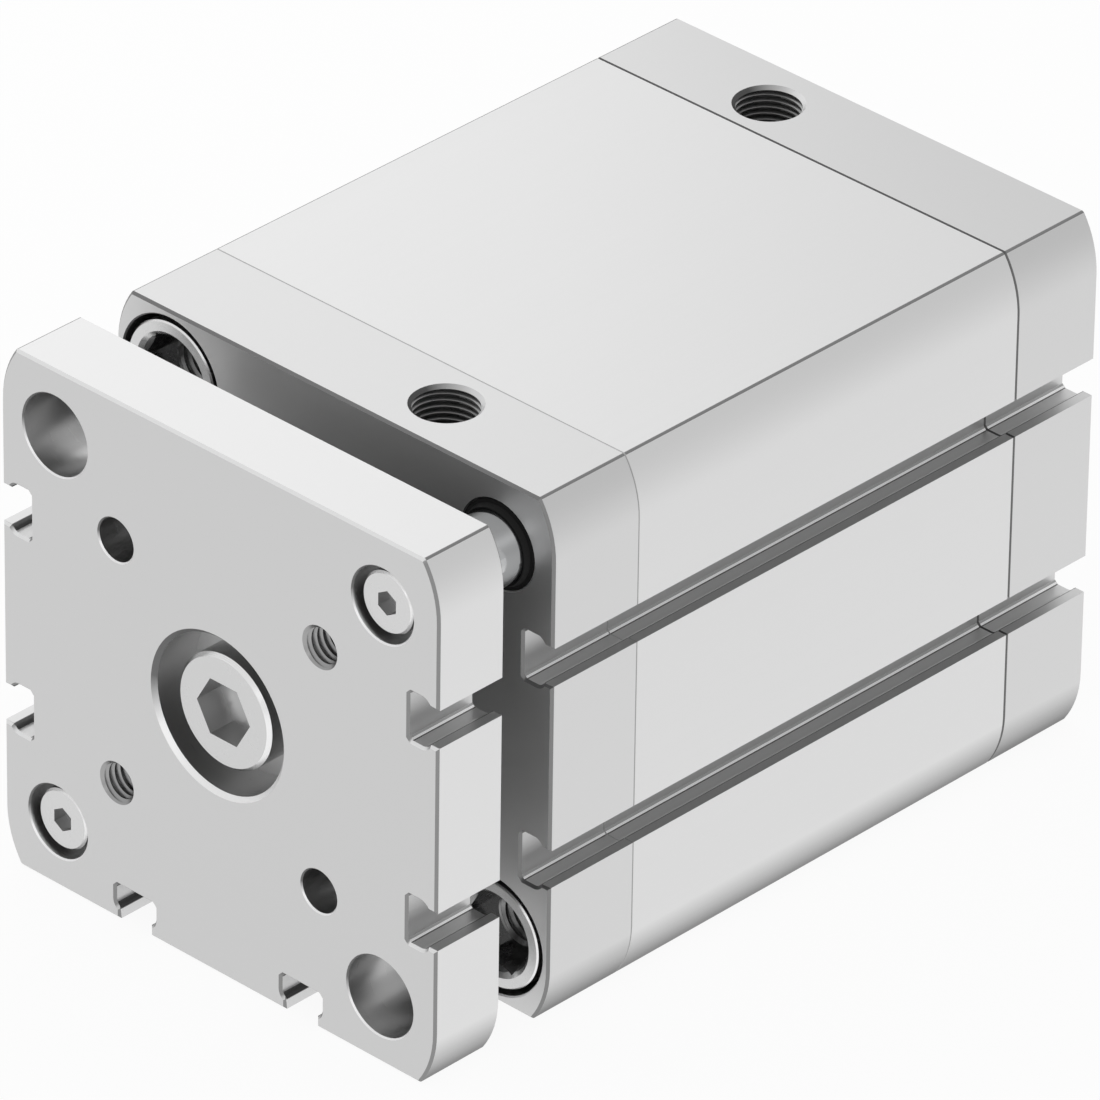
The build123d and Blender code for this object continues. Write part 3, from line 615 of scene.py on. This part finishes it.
def build_tap():
    tree = bpy.data.node_groups.new("tap", "GeometryNodeTree")
    for name, kind in (("Core Radius", "Float"), ("Root Radius", "Float"),
                       ("Pitch", "Float"), ("Length", "Float"), ("Sides", "Int"),
                       ("Rows", "Int"), ("Material", "Material")):
        tree.interface.new_socket(name, in_out="INPUT", socket_type="NodeSocket" + kind)
    tree.interface.new_socket("Tap", in_out="OUTPUT", socket_type="NodeSocketGeometry")
    given = add(tree, "NodeGroupInput").outputs

    across = add(tree, "ShaderNodeMath", {0: given["Sides"], 1: 1.0}, operation="ADD")
    grid = add(tree, "GeometryNodeMeshGrid", {
        "Size X": 1.0, "Size Y": 1.0, "Vertices X": across, "Vertices Y": given["Rows"],
    })
    flat = add(tree, "ShaderNodeSeparateXYZ", {0: add(tree, "GeometryNodeInputPosition")})
    round_share = add(tree, "ShaderNodeMath", {0: flat.outputs["X"], 1: 0.5}, operation="ADD")
    up_share = add(tree, "ShaderNodeMath", {0: flat.outputs["Y"], 1: 0.5}, operation="ADD")
    last = add(tree, "ShaderNodeMath", {0: given["Rows"], 1: 1.0}, operation="SUBTRACT")
    row = add(tree, "ShaderNodeMath", {0: up_share, 1: last}, operation="MULTIPLY")

    # height: the rows start one pitch and one row low, and both ends are cut level
    below = add(tree, "ShaderNodeMath", {0: row, 1: 1.0 + STEPS_PER_PITCH},
                operation="SUBTRACT")
    turns = add(tree, "ShaderNodeMath", {0: below, 1: STEPS_PER_PITCH}, operation="DIVIDE")
    climbed = add(tree, "ShaderNodeMath", {0: turns, 1: round_share}, operation="ADD")
    raw_height = add(tree, "ShaderNodeMath", {0: climbed, 1: given["Pitch"]},
                     operation="MULTIPLY")
    height = add(tree, "ShaderNodeClamp", {"Value": raw_height, "Min": 0.0,
                                           "Max": given["Length"]})

    # radius: from the core at a whole turn to the root at a half turn
    pitches = add(tree, "ShaderNodeMath", {0: height, 1: given["Pitch"]}, operation="DIVIDE")
    phase = add(tree, "ShaderNodeMath", {0: pitches, 1: round_share}, operation="SUBTRACT")
    double = add(tree, "ShaderNodeMath", {0: phase, 1: 2.0}, operation="MULTIPLY")
    swing = add(tree, "ShaderNodeMath", {0: double, 1: 1.0}, operation="PINGPONG")
    radius = add(tree, "ShaderNodeMapRange", {
        "Value": swing, "To Min": given["Core Radius"], "To Max": given["Root Radius"],
    })
    from_end = add(tree, "ShaderNodeMath", {0: last, 1: row}, operation="SUBTRACT")
    nearest_end = add(tree, "ShaderNodeMath", {0: row, 1: from_end}, operation="MINIMUM")
    inside = add(tree, "ShaderNodeMath", {0: nearest_end, 1: 0.5}, operation="GREATER_THAN")
    closed = add(tree, "ShaderNodeMath", {0: radius, 1: inside}, operation="MULTIPLY")

    # wrap it round
    angle = add(tree, "ShaderNodeMath", {0: round_share, 1: tau}, operation="MULTIPLY")
    cosine = add(tree, "ShaderNodeMath", {0: angle}, operation="COSINE")
    sine = add(tree, "ShaderNodeMath", {0: angle}, operation="SINE")
    place = add(tree, "ShaderNodeCombineXYZ", {
        "X": add(tree, "ShaderNodeMath", {0: closed, 1: cosine}, operation="MULTIPLY"),
        "Y": add(tree, "ShaderNodeMath", {0: closed, 1: sine}, operation="MULTIPLY"),
        "Z": height,
    })
    wrapped = add(tree, "GeometryNodeSetPosition", {"Geometry": grid, "Position": place})
    merged = add(tree, "GeometryNodeMergeByDistance", {"Geometry": wrapped,
                                                       "Distance": WELD})
    real = add(tree, "GeometryNodeRealizeInstances", {"Geometry": merged})
    coated = add(tree, "GeometryNodeSetMaterial", {"Geometry": real,
                                                   "Material": given["Material"]})
    add(tree, "NodeGroupOutput", {"Tap": coated})
    return tree


tap_tree = build_tap()
socket_of = {item.name: item.identifier for item in tap_tree.interface.items_tree}
print("tap inputs:", ", ".join(name for name in socket_of if name != "Tap"))

# %% [markdown]
# ## From the tree to a tap of one size
#
# The modifier gets its sizes by the sockets' identifiers, Blender evaluates the tree,
# and new_from_object turns the result into a plain mesh. A tap is made upright and is
# then moved to its hole as a mesh, so that nothing depends on an object's own place.

# %% Make one tap, in place
TAP_SIDES = 48
SPARE_ROWS = 4               # for the closed ends
SUNK_SHARE = 3               # the valley is sunk by one part in three of the thread's depth


def make_tap(core_radius, root_radius, pitch, length, finish, start, axis):
    """Mesh of a tap that starts at a point and runs along an axis."""
    rows = ceil(length / pitch * STEPS_PER_PITCH) + STEPS_PER_PITCH + SPARE_ROWS
    # the valley is sunk into the core, so that a flat ridge of the bore stays
    sunk = (root_radius - core_radius) / SUNK_SHARE
    carrier = bpy.data.objects.new("tap", bpy.data.meshes.new("tap"))
    bpy.context.scene.collection.objects.link(carrier)
    modifier = carrier.modifiers.new("tap", "NODES")
    modifier.node_group = tap_tree
    for name, value in (("Core Radius", core_radius - sunk), ("Root Radius", root_radius),
                        ("Pitch", pitch), ("Length", length), ("Sides", TAP_SIDES),
                        ("Rows", rows), ("Material", finish)):
        modifier[socket_of[name]] = value
    ready = carrier.evaluated_get(bpy.context.evaluated_depsgraph_get())
    mesh = bpy.data.meshes.new_from_object(ready)
    bpy.data.objects.remove(carrier)
    turn = Vector((0, 0, 1)).rotation_difference(Vector(axis)).to_matrix().to_4x4()
    mesh.transform(Matrix.Translation(Vector(start)) @ turn)
    return mesh


def join_meshes(meshes):
    """One mesh from several, with faces that point outwards."""
    whole = bmesh.new()
    for mesh in meshes:
        whole.from_mesh(mesh)
    bmesh.ops.recalc_face_normals(whole, faces=whole.faces)
    joined = bpy.data.meshes.new("joined")
    whole.to_mesh(joined)
    whole.free()
    for material in meshes[0].materials:
        joined.materials.append(material)
    return joined


print("a tap has", TAP_SIDES, "sides and", STEPS_PER_PITCH, "rows to a pitch")

# %% [markdown]
# ## Which face is which
#
# A mesh can hold several materials, and each face the number of one. So the finishes of
# walls, edges and joints need a rule that tells a face's kind from its middle and from
# where it looks. The key is how deep the middle lies under the outline that barrel, caps
# and plate share: nought on the outside, less than the broken edge's width on that edge,
# and more on the wall of a slot or hole. A rule has one great advantage over picked
# faces: it still works after the threads are cut.

# %% Depth under the section's outline
TOP_FLAT = 70.2 * MM
FLANK_RADIUS = 14.0 * MM
FLANK_X = HALF_WIDTH - FLANK_RADIUS
FLANK_Z = HALF_WIDTH - sqrt(FLANK_RADIUS**2 - (TOP_FLAT / 2 - FLANK_X)**2)


def depth_inside(x, z):
    past_x = max(0.0, abs(x) - FLANK_X)
    past_z = max(0.0, abs(z) - FLANK_Z)
    return min(HALF_WIDTH - abs(z), FLANK_RADIUS - hypot(past_x, past_z))


print("the flank arcs start", round(FLANK_Z / MM, 2), "mm above and below the middle")

# %% Sizes that tell the kinds of face apart
(OUTSIDE, BORED, TAPPED, SLOT, EDGE, DIE_EDGE, FRONT_GROOVE, REAR_GROOVE, HOLE_MOUTH,
 PORT_MOUTH) = range(10)
SLOT_OFFSET = 14.6 * MM
SLOT_REACH = 3.9 * MM        # half the slot's inner width, its broken edge and a little
SLOT_DEPTH = 5.4 * MM
BREAK = 0.4 * MM             # a little more than the widest broken edge
LONG_EDGE = 0.15 * MM        # how deep the round between a flat and an arc can lie
SMALL_MOUTH = 0.24 * MM      # a little more than the chamfer at a hole's mouth
WIDE_MOUTH = 0.65 * MM       # the same for the recess in the middle
PORT_CHAMFER = 0.49 * MM     # a little less than the chamfer at a port
MIDDLE = 13.0 * MM           # the recess stays within this distance from the axis
PORT_REACH = 4.9 * MM
PORT_DEPTH = 9.0 * MM
PLATE_THREAD_REACH = 3.1 * MM
SKIN = 0.05 * MM

barrel_low, barrel_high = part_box("cylinder_barrel")
plate_low, plate_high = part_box("yoke_plate")
FRONT_JOINT = barrel_low.y
REAR_JOINT = barrel_high.y
ENDS = (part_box("front_cap")[0].y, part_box("rear_cap")[1].y, plate_low.y, plate_high.y)
print("ends at", [round(y / MM, 1) for y in ENDS], "joints at",
      [round(y / MM, 1) for y in (FRONT_JOINT, REAR_JOINT)])

# %% Kinds of face on the barrel, the caps and the plate
def near(value, places, reach):
    return any(abs(value - place) < reach for place in places)


def slanted(part):
    """Whether a part of a normal is that of a chamfer, which looks two ways at once."""
    return 0.5 < abs(part) < 0.9


def on_long_edge(depth, normal):
    """Whether a face is on the round between an arc and the flat above or below it."""
    # an arc ends where the Z part of its normal is 0.59, and a flat's is 1
    return depth < LONG_EDGE and 0.6 < abs(normal.z) < 0.995 and abs(normal.y) < 0.1


def in_slot(x, z):
    side = abs(x) > HALF_WIDTH - SLOT_DEPTH and abs(abs(z) - SLOT_OFFSET) < SLOT_REACH
    below = -z > HALF_WIDTH - SLOT_DEPTH and abs(abs(x) - SLOT_OFFSET) < SLOT_REACH
    return side or below


def in_thread(middle):
    """Whether a place is in a port or in a threaded hole of the plate."""
    ports = [mounts[name]["pos_m"][:2] for name in ("front_air_port", "rear_air_port")]
    if any(hypot(middle.x - x, middle.y - y) < PORT_REACH for x, y in ports):
        return middle.z > HALF_WIDTH - PORT_DEPTH
    # the plate's threads are upper right and lower left, where X and Z have the same sign
    out = mounts["plate_threads"]["dims"]["pcd_mm"] * MM / 2 / sqrt(2)
    away = hypot(abs(middle.x) - out, abs(middle.z) - out)
    return middle.x * middle.z > 0 and middle.y < plate_high.y and away < PLATE_THREAD_REACH


def section_kind(middle, normal):
    """Kind of a face of the barrel, a cap or the plate."""
    depth = depth_inside(middle.x, middle.z)
    broken = slanted(normal.y)
    if broken and abs(middle.y - FRONT_JOINT) < BREAK:
        return FRONT_GROOVE
    if broken and abs(middle.y - REAR_JOINT) < BREAK:
        return REAR_GROOVE
    if broken and depth < BREAK and near(middle.y, ENDS, BREAK):
        return EDGE
    if on_long_edge(depth, normal):
        return DIE_EDGE
    if depth < SKIN or abs(normal.y) > FACES_ALONG_Y:
        return OUTSIDE
    if normal.z > 0 and slanted(normal.z) and middle.z > HALF_WIDTH - PORT_CHAMFER:
        return PORT_MOUTH
    if in_thread(middle):
        return TAPPED
    mouth = WIDE_MOUTH if hypot(middle.x, middle.z) < MIDDLE else SMALL_MOUTH
    if broken and near(middle.y, ENDS, mouth):
        return EDGE if in_slot(middle.x, middle.z) else HOLE_MOUTH
    return SLOT if in_slot(middle.x, middle.z) else BORED


right_side = Vector((HALF_WIDTH, 0.0, 0.0))
print("kind of a face on the right side:", section_kind(right_side, right_side.normalized()))

# %% Kinds of face on the screws
SOCKET, HEAD_EDGE = 1, 2     # OUTSIDE stays nought
COLLAR_SOCKET_REACH = 6.0 * MM
YOKE_SOCKET_REACH = 4.7 * MM
GUIDE_SOCKET_REACH = 1.8 * MM
HEAD_CHAMFER = 0.65 * MM     # more than the widest chamfer on a head
UNDER_FACE = 0.06 * MM
LOOKS_INWARD = -0.3          # the walls of a socket look back at the screw's axis
HEAD_FACES = (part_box("front_cap_screws")[0].y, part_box("rear_cap_screws")[1].y,
              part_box("yoke_screw")[0].y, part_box("guide_rod_screws")[0].y)


def screw_kind(corner, reach):
    """Rule for screws at the corners, or on the axis if the corner's offset is nought."""
    def kind(middle, normal):
        axis = Vector((copysign(corner, middle.x), 0.0, copysign(corner, middle.z)))
        out = middle - axis
        out.y = 0.0
        if slanted(normal.y) and near(middle.y, HEAD_FACES, HEAD_CHAMFER):
            return HEAD_EDGE
        inward = normal.dot(out.normalized()) < LOOKS_INWARD
        bottom = abs(normal.y) > 0.5 and not near(middle.y, HEAD_FACES, UNDER_FACE)
        return SOCKET if out.length < reach and (inward or bottom) else OUTSIDE
    return kind


print("head faces at", [round(y / MM, 2) for y in HEAD_FACES])

# %% [markdown]
# ## Dress a solid
#
# Each solid that shows is copied, because a solid's own mesh stays as it came. The copy's
# loose triangles are merged into one closed skin, the taps are taken away from it with a
# Boolean, every face gets its kind, and the result stands in for the solid. Sharp edges
# are marked by angle and the normals are weighted by area, so flats stay flat and arcs
# stay round after the cut.

# %% Copy a solid, cut its threads and finish its faces
SHARP_ANGLE = 32             # degrees
SAME_POINT = 0.0001 * MM


def cut_taps(piece, taps):
    """Takes the taps away from a piece and leaves it a plain mesh."""
    cutter = bpy.data.objects.new("cutter", join_meshes(taps))
    bpy.context.scene.collection.objects.link(cutter)
    cut = piece.modifiers.new("threads", "BOOLEAN")
    cut.operation = "DIFFERENCE"
    cut.solver = "MANIFOLD"
    cut.object = cutter
    ready = piece.evaluated_get(bpy.context.evaluated_depsgraph_get())
    result = bpy.data.meshes.new_from_object(ready)
    piece.modifiers.remove(cut)
    piece.data = result
    bpy.data.objects.remove(cutter)


def dressed(name, finishes, kind, taps=()):
    """Finished copy of a solid, which replaces it on the same body."""
    solid = nodes[name]
    skin = bmesh.new()
    skin.from_mesh(solid.data)
    bmesh.ops.remove_doubles(skin, verts=skin.verts, dist=SAME_POINT)
    mesh = bpy.data.meshes.new(name + "_dressed")
    skin.to_mesh(mesh)
    skin.free()
    piece = bpy.data.objects.new(name + "_dressed", mesh)
    bpy.context.scene.collection.objects.link(piece)
    if taps:
        cut_taps(piece, taps)
    piece.data.name = piece.name
    piece.data.materials.clear()
    for finish in finishes:
        piece.data.materials.append(finish)
    counts = [0] * len(finishes)
    for face in piece.data.polygons:
        face.material_index = kind(face.center, face.normal)
        counts[face.material_index] += 1
    # the solid's own normals no longer fit the merged skin
    stored = piece.data.attributes.get("custom_normal")
    if stored:
        piece.data.attributes.remove(stored)
    piece.data.shade_smooth()
    piece.data.set_sharp_from_angle(angle=radians(SHARP_ANGLE))
    weight = piece.modifiers.new("weighted", "WEIGHTED_NORMAL")
    weight.keep_sharp = True
    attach(piece, solid["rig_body"])
    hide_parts(name)
    print(piece.name, "faces by kind:", counts)


print("edges sharper than", SHARP_ANGLE, "degrees stay hard")

# %% [markdown]
# ## Cut the threads and dress what shows
#
# The ports take a G1/8 pipe thread, 28 turns to the inch. The plate has two M6 threads
# right through it. Each collar screw has an M8 thread behind its hexagon socket, for the
# screws that hold the cylinder to a machine. The sizes are those of the standards, and
# the places come from the record's mounts, so a thread can't miss its hole.

# %% Thread sizes, and where the holes are
G18_ROOT_RADIUS = 9.728 * MM / 2
G18_PITCH = 25.4 * MM / 28
M6_ROOT_RADIUS = 5.94 * MM / 2
M6_PITCH = 1.0 * MM
M8_ROOT_RADIUS = 7.9 * MM / 2
M8_PITCH = 1.25 * MM
PAST_FACE = 0.3 * MM         # a tap starts this far outside the hole
PORT_LEAD = 0.5 * MM         # but in a port this far inside, below its chamfer
PORT_THREAD = 7.6 * MM
COLLAR_THREAD = 12.0 * MM    # as far in as can be seen


def port_tap(name, finish):
    port = mounts[name]
    top = cad_box[1][2]
    start = (port["pos_m"][0], port["pos_m"][1], top - PORT_LEAD)
    return make_tap(port["dims"]["r_mm"] * MM, G18_ROOT_RADIUS, G18_PITCH, PORT_THREAD,
                    finish, start, (0, 0, -1))


def plate_taps(finish):
    pattern = mounts["plate_threads"]
    out = pattern["dims"]["pcd_mm"] * MM / 2 / sqrt(2)
    low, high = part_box("yoke_plate")
    length = high.y - low.y + 2 * PAST_FACE
    return [make_tap(pattern["dims"]["hole_r_mm"] * MM, M6_ROOT_RADIUS, M6_PITCH, length,
                     finish, (side * out, low.y - PAST_FACE, side * out), (0, 1, 0))
            for side in (1, -1)]


def collar_tap(x, z, mouth, inward, finish):
    core = mounts["front_screw_thread_upper"]["dims"]["r_mm"] * MM
    start = (x, mouth - inward * PAST_FACE, z)
    return make_tap(core, M8_ROOT_RADIUS, M8_PITCH, COLLAR_THREAD, finish, start,
                    (0, inward, 0))


rear_mouth = mounts["rear_screw_pattern"]["pos_m"][1]
front_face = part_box("front_cap_screws")[0].y
socket_depth = -rear_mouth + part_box("rear_cap_screws")[1].y
front_mouth = front_face + socket_depth
print("collar threads start", round(socket_depth / MM, 2), "mm behind the screw's face")

# %% Dress the barrel, the caps and the plate
def section_finishes(outside, edge):
    """Finishes in the order of the kinds of face."""
    return (outside, bored, tapped, slot_wall, edge, die_edge, front_groove, rear_groove,
            hole_mouth, port_mouth)


barrel_finishes = section_finishes(anodised_barrel, cap_edge)
cap_finishes = section_finishes(anodised_caps, cap_edge)
plate_finishes = section_finishes(anodised_plate, plate_edge)
dressed("cylinder_barrel", barrel_finishes, section_kind)
dressed("front_cap", cap_finishes, section_kind, [port_tap("front_air_port", tapped)])
dressed("rear_cap", cap_finishes, section_kind, [port_tap("rear_air_port", tapped)])
dressed("yoke_plate", plate_finishes, section_kind, plate_taps(tapped))

# %% Dress the screws
collar_kind = screw_kind(corner, COLLAR_SOCKET_REACH)
dressed("front_cap_screws", (corner_zinc, corner_socket_shade, head_edge_highlight), collar_kind,
        [collar_tap(side * corner, -side * corner, front_mouth, 1, corner_socket_shade)
         for side in (1, -1)])
dressed("rear_cap_screws", (corner_zinc, corner_socket_shade, head_edge_highlight), collar_kind,
        [collar_tap(x * corner, z * corner, rear_mouth, -1, corner_socket_shade)
         for x in (1, -1) for z in (1, -1)])
dressed("guide_rod_screws", (corner_zinc, guide_socket_shade, head_edge_highlight),
        screw_kind(corner, GUIDE_SOCKET_REACH))
dressed("yoke_screw", (middle_zinc, yoke_socket_shade, head_edge_highlight),
        screw_kind(0.0, YOKE_SOCKET_REACH))

# %% [markdown]
# ## Floor, world and lamps
#
# The studio is white all round, so the metal reflects white from every side and shows
# its own shade. One side has a greyer wall, to the right and behind, and the floor gets
# grey towards the wall's foot, which gives the upper arcs of the flank their even shade.
# The floor is a big sheet of card under the cylinder. It is lit from inside to an even
# white, with a part of plain diffuse card mixed in, which keeps the soft shadow that
# makes the cylinder stand on something. A lamp to the left, wide for how near it is, adds
# soft light on top, and one in front puts a sparkle on rims that look that way.

# %% Floor
FLOOR_SIZE = 4.0
SHADOW_SHARE = 0.08
GREY = 0.85                  # light from the grey wall, white being 1
GREY_ACROSS = (0.12, 0.24)   # the card turns grey between these X, in metres,
GREY_ALONG = (-0.14, 0.02)   # and between these Y

floor_mesh = bpy.data.meshes.new("floor")
half_floor = FLOOR_SIZE / 2
floor_z = cad_box[0][2]
round_the_card = ((-1, -1), (1, -1), (1, 1), (-1, 1))
floor_mesh.from_pydata([(x * half_floor, y * half_floor, floor_z) for x, y in round_the_card],
                       [], [(0, 1, 2, 3)])
floor = bpy.data.objects.new("floor", floor_mesh)
bpy.context.scene.collection.objects.link(floor)
card = bpy.data.materials.new("white_card")
card.use_nodes = True
card.node_tree.nodes.clear()
matt = add(card.node_tree, "ShaderNodeBsdfDiffuse", {"Color": linear("F4F4F4")})
spot = add(card.node_tree, "ShaderNodeSeparateXYZ",
           {"Vector": add(card.node_tree, "ShaderNodeTexCoord").outputs["Object"]})
right, behind = [
    add(card.node_tree, "ShaderNodeMapRange",
        {"Value": spot.outputs[axis], "From Min": low, "From Max": high},
        interpolation_type="SMOOTHSTEP")
    for axis, (low, high) in (("X", GREY_ACROSS), ("Y", GREY_ALONG))
]
at_foot = add(card.node_tree, "ShaderNodeMath", {0: right, 1: behind}, operation="MULTIPLY")
strength = add(card.node_tree, "ShaderNodeMapRange",
               {"Value": at_foot, "To Min": 1.0, "To Max": GREY})
even = add(card.node_tree, "ShaderNodeEmission", {"Strength": strength})
mixed = add(card.node_tree, "ShaderNodeMixShader", {0: SHADOW_SHARE, 1: even, 2: matt})
add(card.node_tree, "ShaderNodeOutputMaterial", {"Surface": mixed})
floor_mesh.materials.append(card)
print("floor at", round(floor_z / MM, 2), "mm")

# %% World
GREY_SIDE = Vector((0.75, 0.62, 0.2)).normalized()     # towards the studio's grey wall
GREY_FROM = 0.6                                        # cosine of the wall's half angle
GREY_FULL = 0.9                                        # and of the part that is all grey

world = bpy.data.worlds.new("studio")
bpy.context.scene.world = world
world.use_nodes = True
world.node_tree.nodes.clear()
toward = add(world.node_tree, "ShaderNodeVectorMath",
             {0: add(world.node_tree, "ShaderNodeTexCoord"), 1: GREY_SIDE},
             operation="DOT_PRODUCT").outputs["Value"]
wall = add(world.node_tree, "ShaderNodeMapRange",
           {"Value": toward, "From Min": GREY_FROM, "From Max": GREY_FULL,
            "To Min": 1.0, "To Max": GREY},
           interpolation_type="SMOOTHSTEP")
sky = add(world.node_tree, "ShaderNodeBackground", {"Strength": wall})
add(world.node_tree, "ShaderNodeOutputWorld", {"Surface": sky})
print("the studio is white, and its grey wall is", GREY)

# %% Lamps
AIM = Vector((0.4, -60.2, -1.3)) * MM


def looking_at_aim(azimuth, elevation, distance, roll=0.0):
    """Place of a lamp or camera; the azimuth runs from the front towards the right."""
    flat = cos(radians(elevation))
    away = Vector((flat * sin(radians(azimuth)), -flat * cos(radians(azimuth)),
                   sin(radians(elevation))))
    upright = away.to_track_quat("Z", "Y").to_matrix().to_4x4()
    tilt = Matrix.Rotation(radians(roll), 4, -away)
    return Matrix.Translation(AIM + away * distance) @ tilt @ upright


def lamp(name, place, size, power):
    """Square area lamp, with its size in metres and its power in watts."""
    light = bpy.data.lights.new(name, "AREA")
    light.size = size
    light.energy = power
    holder = bpy.data.objects.new(name, light)
    holder.matrix_world = place
    bpy.context.scene.collection.objects.link(holder)


lamp("top_lamp", looking_at_aim(azimuth=-110, elevation=38, distance=0.33),
     size=0.33, power=0.15)
lamp("front_lamp", looking_at_aim(azimuth=43, elevation=31, distance=2.2),
     size=0.7, power=2.0)

# %% [markdown]
# ## Camera
#
# The product is seen from the front right and from above, by a very long lens, which
# keeps its edges nearly parallel. A long lens needs a long distance, and the two are
# matched so that the cylinder fills the frame. The camera is rolled a little, as the
# product's upright edges in the picture show.

# %% Camera
AZIMUTH = 43.357
ELEVATION = 31.411
ROLL = -0.84
DISTANCE = 1.6407
LENS = 426.58                # mm, on a sensor of the usual 36 mm
CLIP_END = 20.0

camera = bpy.data.objects.new("camera", bpy.data.cameras.new("camera"))
camera.data.lens = LENS
camera.data.sensor_width = 36.0
camera.data.clip_end = CLIP_END
camera.matrix_world = looking_at_aim(AZIMUTH, ELEVATION, DISTANCE, ROLL)
bpy.context.scene.collection.objects.link(camera)
bpy.context.scene.camera = camera
bpy.context.scene.view_settings.view_transform = "Standard"
print("camera", DISTANCE, "m from its aim, with a lens of", LENS, "mm")
